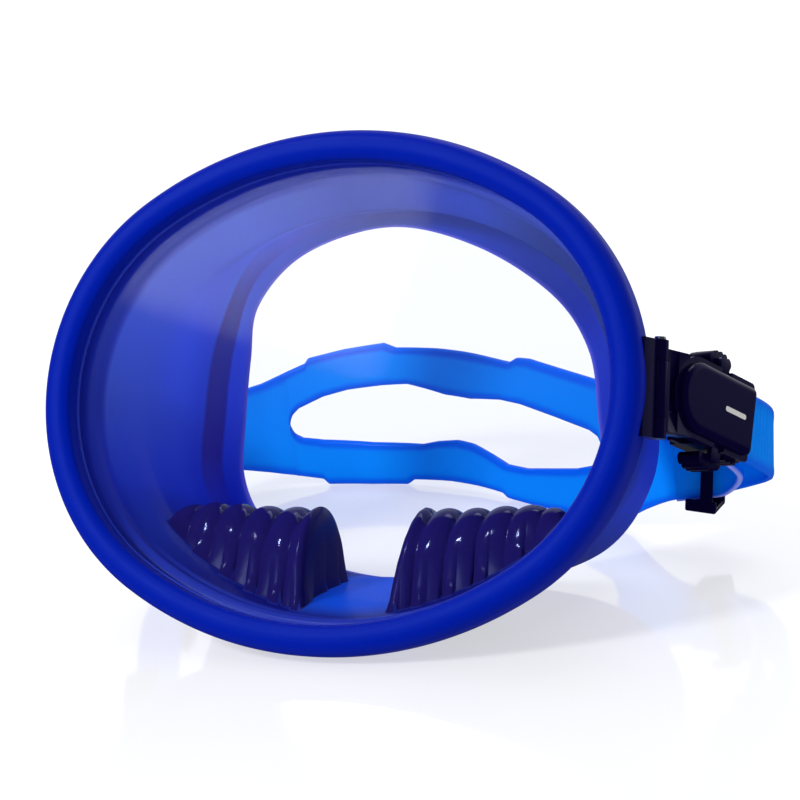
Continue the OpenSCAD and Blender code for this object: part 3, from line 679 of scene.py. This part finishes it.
def band(f, low, high, caps, ribs):
    """One strip of strap between heights low and high, with rounded, beaded edges.

    ribs is a row of (from, to, side): teeth between two station parameters, outside (1) or inside (-1).
    Returns vertices, faces, how much of a bead each vertex is, and how near it is to the outline.
    """
    c, tall, out, _, t, _ = strap_frame(f)
    h = low[:, None] + (high - low)[:, None] * ACROSS
    from_low, from_high = h - low[:, None], high[:, None] - h
    near = np.minimum(from_low, from_high)
    r = np.minimum(t / 2, EDGE_ROUND)[:, None]
    rounding = np.sqrt(np.clip(1 - (1 - np.clip(near / r, 0, 1)) ** 2, 0, 1))
    bead = 2 - smooth(from_low, BEAD_W, BEAD_W + 0.7) - smooth(from_high, BEAD_W, BEAD_W + 0.7)
    thick = (t[:, None] / 2 + BEAD_H * (bead - 1)) * rounding
    face = {1: thick, -1: thick}
    length = len_at(f)
    for start, end, side in ribs:
        teeth = (0.5 + 0.5 * np.cos(2 * np.pi * length / RIB_PITCH)) ** 1.5
        wave = RIB_H * plateau(length, len_at(start), len_at(end), 2.0) * teeth
        face[side] = face[side] + wave[:, None] * smooth(near, EDGE_ROUND, 1.6)
    middle = c[:, None] + tall[:, None] * h[..., None]
    ring = both_faces(middle + out[:, None] * face[1][..., None], middle - out[:, None] * face[-1][..., None])
    n, m = ring.shape[:2]
    faces = [g[::-1] for g in loft_faces(n, m)]
    if caps[0]:
        faces.append(list(range(m)))
    if caps[1]:
        faces.append(list(range(n * m - 1, (n - 1) * m - 1, -1)))
    outline = np.clip((EDGE_ROUND - near) / 0.3, 0, 1)
    return ring.reshape(-1, 3), faces, both_faces(bead, bead).ravel(), both_faces(outline, outline).ravel()


def strap_piece(name, f_from, f_to, caps=(False, False), ribs=()):
    """A length of strap; over the slot it is two bands."""
    cuts = [f_from] + [x for x in (SLOT_FROM, SLOT_TO) if f_from < x < f_to] + [f_to]
    verts, faces, tone, tail_highlight, count = [], [], [], [], 0
    for a, b in zip(cuts[:-1], cuts[1:]):
        n = max(3, int((len_at(b) - len_at(a)) / STRAP_STEP))
        f = at_len(np.linspace(len_at(a), len_at(b), n))
        f[0], f[-1] = a, b
        c, _, _, half, _, slot = strap_frame(f)
        top, bottom = back_edge(BACK_TOP, c, f, half), back_edge(BACK_BOTTOM, c, f, -half)
        high_side, low_side = back_edge(BACK_HIGH, c, f, slot), back_edge(BACK_LOW, c, f, -slot)
        is_split = a >= SLOT_FROM and b <= SLOT_TO
        ends = (caps[0] and a == f_from or is_split and a == SLOT_FROM,
                caps[1] and b == f_to or is_split and b == SLOT_TO)
        for low, high in [(bottom, low_side), (high_side, top)] if is_split else [(bottom, top)]:
            band_verts, band_faces, bead, outline = band(f, low, high, ends, ribs)
            verts.append(band_verts)
            faces += [[i + count for i in g] for g in band_faces]
            tone.append(bead)
            # painted highlight along the outline of the right tail's bands
            tail_highlight.append(outline * np.repeat(f < N_TAIL, len(band_verts) // len(f)))
            count += len(band_verts)
    obj = mesh(name, np.concatenate(verts), faces, FLOOR_FRAME, 50)
    attribute(obj, "edge", np.concatenate(tone))
    attribute(obj, "tail_highlight", np.concatenate(tail_highlight))
    obj.data.materials.append(strap_mat)
    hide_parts("strap")
    return obj


STRAP_STEP = 0.5  # spacing of the points along the strap
F_KEEP_R, F_KEEP_L = N_TAIL + N_IN + 3.6, SLOT_TO + 4.0  # stations at the keepers
F_OUT_R, F_OUT_L = N_TAIL + N_IN - 1, SLOT_TO + 1 + len(left_run)  # where the strap leaves the buckles
F_MID = SLOT_FROM + 4.0
right_ribs = ((F_OUT_R - 1, F_KEEP_R - 0.9, 1), (0.3, N_TAIL - 0.4, -1))
left_ribs = ((F_KEEP_L + 0.5, F_OUT_L + 1, 1), (LAST - N_TAIL + 1.4, LAST - 0.3, -1))


def station_m(f):
    """Centre of the strap at station parameter f, in metres, in the whole object's frame."""
    return tuple(apply(FLOOR_FRAME, along(np.array([f]))[0, :3]) * MM)


strap_r = strap_piece("strap_right_run", 0, F_KEEP_R, (True, False), right_ribs)
station_m(F_KEEP_R)
station_m(F_OUT_R)
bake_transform(strap_r)
strap_br = strap_piece("strap_back_right", F_KEEP_R, F_MID)
station_m(SLOT_FROM + 3.0)
station_m(F_KEEP_R + 1.5)
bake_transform(strap_br)
strap_bl = strap_piece("strap_back_left", F_MID, F_KEEP_L)
station_m(SLOT_FROM + 6.0)
station_m(F_KEEP_L - 1.5)
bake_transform(strap_bl)
strap_l = strap_piece("strap_left_run", F_KEEP_L, LAST, (False, True), left_ribs)
station_m(F_KEEP_L)
station_m(F_OUT_L)
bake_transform(strap_l)


# ---- Buckle parts, drawn once and placed on both sides ----

def box(low, high):
    """Box between two corners, as (vertices, faces)."""
    (a, b, c), (d, e, f) = low, high
    v = [(a, b, c), (d, b, c), (d, e, c), (a, e, c), (a, b, f), (d, b, f), (d, e, f), (a, e, f)]
    return v, [[3, 2, 1, 0], [4, 5, 6, 7], [0, 1, 5, 4], [1, 2, 6, 5], [2, 3, 7, 6], [3, 0, 4, 7]]


def prism(outline, axis, start, end):
    """Outline of (a, b) pairs, thickened along an axis: x takes (y, z), y takes (z, x), z takes (x, y)."""
    n = len(outline)
    order = {"x": (2, 0, 1), "y": (1, 2, 0), "z": (0, 1, 2)}[axis]
    v = [tuple((a, b, h)[k] for k in order) for h in (start, end) for a, b in outline]
    f = [[i, (i + 1) % n, n + (i + 1) % n, n + i] for i in range(n)]
    return v, f + [list(range(n))[::-1], list(range(n, 2 * n))]


def bar(axis, r, start, end, at=(0, 0), n=72):
    """Round bar of radius r along an axis; at is its centre in the same two directions as prism's outline."""
    turns = [2 * math.pi * i / n for i in range(n)]
    return prism([(at[0] + r * math.cos(w), at[1] + r * math.sin(w)) for w in turns], axis, start, end)


def carve(parts, cuts=(), bevel=0.3, segments=3):
    """Union of parts minus cuts with bevelled edges, as (vertices, faces) in mm."""
    made = []
    for v, f in list(parts) + list(cuts):
        shape = bpy.data.meshes.new("tmp")
        shape.from_pydata([tuple(p) for p in v], [], f)
        obj = bpy.data.objects.new("tmp", shape)
        bpy.context.scene.collection.objects.link(obj)
        made.append(obj)
    base = made[0]
    for k, tool in enumerate(made[1:], 1):
        boolean = base.modifiers.new("cut", "BOOLEAN")
        boolean.solver = "EXACT"
        boolean.operation = "UNION" if k < len(parts) else "DIFFERENCE"
        boolean.object = tool
    rounding = base.modifiers.new("rounding", "BEVEL")
    rounding.width = bevel
    rounding.segments = segments
    rounding.limit_method = "ANGLE"
    rounding.angle_limit = rad(32)
    rounding.use_clamp_overlap = True
    bpy.context.view_layer.update()
    result = bpy.data.meshes.new_from_object(base.evaluated_get(bpy.context.evaluated_depsgraph_get()))
    for obj in made:
        bpy.data.objects.remove(obj)
    return [tuple(p.co) for p in result.vertices], [list(p.vertices) for p in result.polygons]


def both_sides(part, frame_name, body, mat, slot, geometry, sharp=30.0):
    """Places a part on the right and the left; it stands for the CAD node of the same name."""
    for side, frames in SIDES.items():
        obj = mesh(f"{side}_{part}_shape", geometry[0], geometry[1], frames[frame_name], sharp)
        on = "root" if body == "root" else f"{side}_{body}"
        rigid(obj, on, mat, slot, f"{side}_{part}")


def span(side, near, far):
    """Low and high ends of a range that lies on the upper (1) or the lower (-1) side."""
    return sorted((side * near, side * far))


HINGE_HALF, KNUCKLE = 12.0, 6.9  # half heights of the hinge and of the yoke's knuckle
KNUCKLE_R = 2.1
PIN_R, PIN_BORE, PIN_HEAD = 1.1, 1.15, 1.4
STUD_R, STUD_BORE = 2.5, 2.55
WALL_IN, WALL_OUT = 9.3, 10.3  # the buckle's upper and lower walls, from its middle
BASE_BACK, BASE_TOP = 24.0, 5.6  # rear end of the buckle and its outer face
COVER_R, COVER_BACK = 8.8, 23.4
ALL = 20  # longer than any piece here, for cuts that go right through

bracket_parts = [box((-3, -6.5, -HINGE_HALF), (-0.1, 1.2, HINGE_HALF))]
for s in (-1, 1):
    low, high = span(s, KNUCKLE + 0.1, HINGE_HALF)
    bracket_parts += [bar("z", KNUCKLE_R, low, high), box((-1.5, -KNUCKLE_R, low), (0, 1.2, high))]
bracket_cuts = [
    bar("z", PIN_BORE, -14, 14),
    bar("z", KNUCKLE_R + 0.3, -KNUCKLE - 0.1, KNUCKLE + 0.1),
    bar("y", END_R + 0.02, -ALL, ALL, (0, HALF_W - END_R - HINGE_OUT), 240),
    # The front edge is bevelled, so that it hides behind the rim
    prism([(-1.8, -6.6), (0.5, -6.6), (0.5, -2.8), (-0.1, -2.8)], "z", -14, 14)]
both_sides("bracket", "hinge", "root", navy_mat, "buckle_plastic", carve(bracket_parts, bracket_cuts, 0.28))

pin_parts = [
    bar("z", PIN_R, -HINGE_HALF, HINGE_HALF + 0.1),
    bar("z", PIN_HEAD, HINGE_HALF + 0.02, HINGE_HALF + 0.9)]
both_sides("hinge_pin", "hinge", "root", steel_mat, "steel", carve(pin_parts))

YOKE_FACE = HX + 0.9
yoke_parts = [
    bar("z", KNUCKLE_R, -KNUCKLE, KNUCKLE, (HX, HY)),
    box((HX - 1.5, HY, -KNUCKLE), (YOKE_FACE, HY + 4, KNUCKLE)),
    box((HX - 3, HY + 2.5, -10.2), (YOKE_FACE, -3.4, 10.2)),
    box((-4.6, -11.5, -8), (HX - 2, -9.6, 8)),
    box((-4.6, -11.5, -7.5), (-2.7, 0, 7.5)),
    bar("x", 7.5, -4.6, -2.7)]
yoke_cuts = [
    bar("z", PIN_BORE, -ALL, ALL, (HX, HY)),
    bar("x", STUD_BORE, -8, 0),
    bar("x", WALL_OUT + 0.3, 2.6, 12, n=160),
    bar("x", 9.6, -2.6, 12, n=160),
    # A shallow hollow down the outer face, behind the hinge
    bar("y", 30, HY + 3.2, HY + 7.0, (0, HX + 29.2), 400)]
both_sides("yoke", "yoke", "yoke", navy_mat, "buckle_plastic", carve(yoke_parts, yoke_cuts, 0.4, 4))

stud_parts = [bar("x", STUD_R, -4.7, -0.75), bar("x", 4.0, -5.6, -4.65), bar("x", 3.4, -0.85, 0)]
both_sides("pivot_stud", "yoke", "yoke", steel_mat, "steel", carve(stud_parts, [bar("x", 1.2, -6, -5.2)], 0.25))


def d_outline(r, back, corner, n=200):
    """A half disc in front and straight sides to the rear, with rounded rear corners, evenly spaced."""
    raw = arc(0, 0, r, 90, 270, 60) + [(back - corner, -r)]
    raw += arc(back - corner, -r + corner, corner, 270, 360, 8)
    raw += arc(back - corner, r - corner, corner, 0, 90, 8)
    raw = np.array(raw + [raw[0]])
    s = np.concatenate([[0], np.cumsum(np.linalg.norm(np.diff(raw, axis=0), axis=1))])
    base = np.linspace(0, s[-1], n, endpoint=False)
    return np.stack([np.interp(base, s, raw[:, 0]), np.interp(base, s, raw[:, 1])], -1)


def d_slab(r, back, corner, start, end):
    return prism([tuple(p) for p in d_outline(r, back, corner, 160)], "x", start, end)


base_parts = [
    bar("x", 9.3, -2.5, 3.1, n=128),
    d_slab(WALL_OUT, BASE_BACK, 1.2, 3, BASE_TOP),
    box((-2.5, 0, -WALL_OUT), (-0.9, 8, WALL_OUT))]
base_cuts = [
    bar("x", 8.4, -0.9, 5, n=96),
    box((-0.9, 0, -WALL_IN), (5, BASE_BACK + 1, WALL_IN)),
    d_slab(COVER_R - 1.4, 21.6, 0.3, 4.5, BASE_TOP + 1),
    bar("x", STUD_BORE, -4, 0),
    bar("z", 1.05, -ALL, ALL, (ROLLER_OUT, ROLLER_BACK)),
    bar("z", 0.65, -ALL, ALL, (4.3, 20))]
for s in (-1, 1):
    low, high = span(s, WALL_IN, WALL_OUT)
    base_parts.append(box((-4.4, 4, low), (3.1, BASE_BACK, high)))
    low, high = span(s, 9, 13)
    base_cuts.append(box((3.4, 8.8, low), (BASE_TOP + 1, 13.2, high)))
    low, high = span(s, WALL_OUT - 0.1, WALL_OUT + 0.9)
    base_parts += [box((-1, 17.4 + 2 * i, low), (3, 18.7 + 2 * i, high)) for i in range(3)]
both_sides("buckle_base", "buckle", "buckle", navy_mat, "buckle_plastic", carve(base_parts, base_cuts, 0.22))

BLOCK_IN = WALL_OUT + 1.3  # inner side of a button's block, from the buckle's middle
BLOCK_OUT = BLOCK_IN + 3.8
BUTTON_MID, BUTTON_HALF = 11, 5  # a button's middle and half length, back from the stud
BUTTON_BOW = 1.7  # how much lower its ends are than its middle


def button_outline():
    """Side view of a button: five rounded ribs along its bowed outer edge."""
    ribs = []
    for i in range(5):
        middle = BUTTON_MID - 4 + 2 * i
        rounding = [(0.95, 0.85), (0.7, 0.25), (0.3, 0.0)]
        ribs += [(middle - away, BLOCK_OUT - down) for away, down in rounding]
        ribs += [(middle + away, BLOCK_OUT - down) for away, down in rounding[::-1]]
    ribs[0] = (BUTTON_MID - BUTTON_HALF, BLOCK_OUT - 0.85)
    ribs[-1] = (BUTTON_MID + BUTTON_HALF, BLOCK_OUT - 0.85)
    bowed = [(u, h - BUTTON_BOW * abs((u - BUTTON_MID) / BUTTON_HALF) ** 2.4) for u, h in ribs]
    return [(BUTTON_MID - 4.4, BLOCK_IN)] + bowed + [(BUTTON_MID + 4.4, BLOCK_IN)]


# A button's block, the leg that carries it and the foot that reaches in through the wall
button_parts = [
    prism(button_outline(), "x", -3.2, 3.2),
    box((2.6, BUTTON_MID - 2, BLOCK_IN), (4.85, BUTTON_MID + 2, 13.2)),
    box((3.6, BUTTON_MID - 2, 9.2), (4.85, BUTTON_MID + 2, BLOCK_IN + 0.1))]
upper = carve(button_parts, bevel=0.5)
lower = ([(x, y, -z) for x, y, z in upper[0]], [f[::-1] for f in upper[1]])
both_sides("upper_button", "buckle", "upper_button", navy_mat, "buckle_plastic", upper, 28)
both_sides("lower_button", "buckle", "lower_button", navy_mat, "buckle_plastic", lower, 28)


def cover_geometry(n=240):
    """Shell: side wall, rounded bevel and flat top, then the hollow underside, as loops of (inset, outward)."""
    outside = [(0.0, 5.65), (0.0, 5.9), (0.0, 6.25), (0.05, 6.5), (0.18, 6.75), (0.4, 6.98), (0.68, 7.18),
               (0.95, 7.34), (1.15, 7.43), (1.4, 7.48), (1.7, 7.5), (2.2, 7.5)]
    inside = [(1.9, 6.3), (1.6, 6.3), (1.3, 6.1), (1.3, 5.9), (1.2, 5.65)]
    loops = []
    for inset, outward in outside + inside:
        outline = d_outline(COVER_R - inset, COVER_BACK - inset, max(1.5 - 0.6 * inset, 0.2), n)
        loops.append(np.stack([np.full(n, outward), outline[:, 0], outline[:, 1]], -1))
    top, under, total = len(outside) - 1, len(outside), len(loops)
    faces = []
    for i in range(total):
        if i != top:
            a, b = i * n, (i + 1) % total * n
            faces += [[a + j, a + (j + 1) % n, b + (j + 1) % n, b + j] for j in range(n)]
    faces += [[top * n + j for j in range(n)], [under * n + j for j in range(n)][::-1]]
    return np.array(loops).reshape(-1, 3), faces


cover_verts, cover_faces = cover_geometry()
for side, frames in SIDES.items():
    cover = mesh(f"{side}_buckle_cover_shape", cover_verts, cover_faces, frames["buckle"], 40)
    for k, direction in enumerate(("outward", "back", "height")):
        attribute(cover, direction, cover_verts[:, k])
    rigid(cover, f"{side}_buckle", cover_mat, "buckle_plastic", f"{side}_buckle_cover")

# The keeper is a frame round the strap, with one bar across its face and an opening on either side of it
keeper_geo = carve([box((-4.3, -4.7, -12.3), (4.3, 4.7, 12.3))],
                   [box((-10, -3.3, -11), (10, 3.3, 11)), box((3.2, -6, -9), (10, 0, 9)),
                    box((-10, -6, -9), (-0.2, 0, 9))], 0.6, 4)
KEEPERS = {"right": shift(77.6, 66.6, 22.8) @ turn("z", -2) @ turn("y", 7),
           "left": shift(-99.8, 73.5, 27.3) @ turn("z", 93.5) @ turn("x", -4) @ turn("y", 15)}
for side, place in KEEPERS.items():
    keeper = mesh(f"{side}_keeper_loop", *keeper_geo, FLOOR_FRAME @ place, 30)
    rigid(keeper, f"{side}_keeper", navy_mat, "buckle_plastic", f"{side}_keeper")

# CAD nodes that stay as they are: the parts inside the buckle
for side in SIDES:
    for part in ("release_spring", "pawl", "pawl_pin", "roller", "roller_axle"):
        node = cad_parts[f"{side}_{part}"]
        node.data.materials.clear()
        node.data.materials.append(pawl_mat if part == "pawl" else steel_mat)
        node.data.polygons.foreach_set("use_smooth", [True] * len(node.data.polygons))
        node.data.set_sharp_from_angle(angle=rad(30))


# ---- Stage, light and camera ----

scene = bpy.context.scene
CENTRE = np.array([RIM_X, RIM_Y, RIM_Z]) * MM  # centre of the rim's front plane, in metres


def lamp(name, at, aim, size, power):
    """Rectangular lamp at a place, turned towards another; all in metres and watts."""
    light = bpy.data.lights.new(name, "AREA")
    light.shape = "RECTANGLE"
    light.size, light.size_y = size
    light.energy = power
    obj = bpy.data.objects.new(name, light)
    scene.collection.objects.link(obj)
    obj.location = at
    obj.rotation_mode = "QUATERNION"
    obj.rotation_quaternion = (Vector(aim) - Vector(at)).to_track_quat("-Z", "Y")
    return obj


def floor_material():
    """Bright glossy table: a lit part that takes soft shadows and a clear reflection, and an even glow."""
    add, end = shader("floor_mat")
    lit = add("BsdfPrincipled", {"Base Color": (0.36, 0.36, 0.36), "Roughness": 0.08, "IOR": 1.5})
    glow = add("Emission", {"Color": (0.985, 0.985, 1.0), "Strength": 0.6})
    return end(add("AddShader", {0: lit.outputs[0], 1: glow.outputs[0]}).outputs[0])


FLOOR_HALF, FLOOR_Z = 4000, -0.05
corners = [(x * FLOOR_HALF, y * FLOOR_HALF, FLOOR_Z) for x, y in ((-1, -1), (1, -1), (1, 1), (-1, 1))]
floor = mesh("floor", corners, [[0, 1, 2, 3]])
floor.data.materials.append(floor_material())
floor.visible_glossy = False


def studio_world():
    """White to the camera, even and soft for matt surfaces, and bright only behind the mask for mirror-like ones."""
    world = bpy.data.worlds.new("studio")
    world.use_nodes = True
    world.node_tree.nodes.clear()
    add = node_adder(world.node_tree)
    paths = add("LightPath")
    direction = add("SeparateXYZ", {0: add("TexCoord").outputs["Generated"]})
    behind = add("MapRange", {"Value": direction.outputs["Y"], "From Min": 0.1, "From Max": 0.75,
                              "To Min": 0.05, "To Max": 0.95}, interpolation_type="SMOOTHSTEP")
    seen = add("Background", {"Color": (1, 1, 1), "Strength": 1.0})
    lit = add("Background", {"Color": (0.95, 0.97, 1), "Strength": 0.5})
    above = add("MapRange", {"Value": direction.outputs["Z"], "From Min": -0.25, "From Max": 0.05, "To Min": 0.12})
    glint = add("Math", {0: behind.outputs[0], 1: above.outputs[0]}, operation="MULTIPLY")
    mirrored = add("Background", {"Color": (0.9, 0.93, 1), "Strength": glint.outputs[0]})
    indirect = add("MixShader", {0: paths.outputs["Is Glossy Ray"], 1: lit.outputs[0], 2: mirrored.outputs[0]})
    whole = add("MixShader", {0: paths.outputs["Is Camera Ray"], 1: indirect.outputs[0], 2: seen.outputs[0]})
    add("OutputWorld", {"Surface": whole.outputs[0]})
    return world


scene.world = studio_world()
lamp("key_left", (-0.5, -0.75, 0.7), (0, -0.02, 0.06), (0.22, 0.22), 10.0)
lamp("rib_glint", (-0.43, -0.33, 0.95), (0, -0.02, 0.03), (0.1, 0.1), 5.0).visible_diffuse = False
lamp("top_back", (0.15, 0.45, 0.8), (0, 0, 0.05), (0.7, 0.4), 3.5)
lamp("right_side", (0.7, -0.25, 0.45), (0.09, -0.02, 0.06), (0.12, 0.4), 0.6).visible_glossy = False


def veil_material():
    """Light that fades down and across the panel; it is only seen mirrored in the glass."""
    add, end = shader("veil_mat")
    place = add("SeparateXYZ", {0: add("TexCoord").outputs["Generated"]})
    slant = add("Math", {0: place.outputs["X"], 1: -0.45, 2: 0.25}, operation="MULTIPLY_ADD")
    height = add("Math", {0: place.outputs["Y"], 1: slant.outputs[0]}, operation="ADD")
    fade = add("MapRange", {"Value": height.outputs[0], "From Min": 0.4, "From Max": 0.72})
    power = add("Math", {0: fade.outputs[0], 1: 1.8}, operation="POWER")
    power = add("Math", {0: power.outputs[0], 1: 0.9}, operation="MULTIPLY")
    return end(add("Emission", {"Color": (0.55, 0.76, 1.15), "Strength": power.outputs[0]}).outputs[0])


def placed(obj, axes, at):
    """Gives an object its own axes and place, in metres."""
    place = np.eye(4)
    place[:3, :3] = np.stack(axes, 1)
    place[:3, 3] = at
    obj.matrix_world = Matrix(place.tolist())
    scene.collection.objects.link(obj)


def panel(name, direction, distance, half_w, half_h, mat):
    """Upright panel that faces the rim's centre from a direction; its texture x runs right and y up."""
    at = CENTRE + distance * direction
    face = (CENTRE - at) / np.linalg.norm(CENTRE - at)
    across = np.cross(face, (0, 0, 1.0))
    across /= np.linalg.norm(across)
    sheet = bpy.data.meshes.new(name)
    sheet.from_pydata([(x * half_w, y * half_h, 0) for x, y in ((-1, -1), (1, -1), (1, 1), (-1, 1))], [],
                      [[0, 1, 2, 3]])
    sheet.materials.append(mat)
    obj = bpy.data.objects.new(name, sheet)
    placed(obj, (across, np.cross(across, face), -face), at)
    obj.visible_diffuse = obj.visible_camera = obj.visible_transmission = obj.visible_shadow = False


panel("lens_veil", np.array([-0.408, -0.770, 0.491]), 0.9, 0.42, 0.3, veil_material())

YAW, ELEVATION, ROLL = rad(25), rad(15), rad(7.6)
DISTANCE, SHIFT_RIGHT, SHIFT_DOWN = 0.56, 0.01915, 0.0056  # camera from the rim's centre, in metres
right = np.array([math.cos(YAW), math.sin(YAW), 0])
up = np.array([-math.sin(YAW) * math.sin(ELEVATION), math.cos(YAW) * math.sin(ELEVATION), math.cos(ELEVATION)])
ahead = np.cross(up, right)
x_axis = right * math.cos(ROLL) - up * math.sin(ROLL)
y_axis = right * math.sin(ROLL) + up * math.cos(ROLL)
cam = bpy.data.cameras.new("camera")
cam.lens, cam.sensor_width = 100.0, 36.0
cam.clip_start, cam.clip_end = 0.01, 20
scene.camera = bpy.data.objects.new("camera", cam)
placed(scene.camera, (x_axis, y_axis, -ahead), CENTRE - DISTANCE * ahead + SHIFT_RIGHT * right - SHIFT_DOWN * up)
scene.view_settings.view_transform = "Standard"
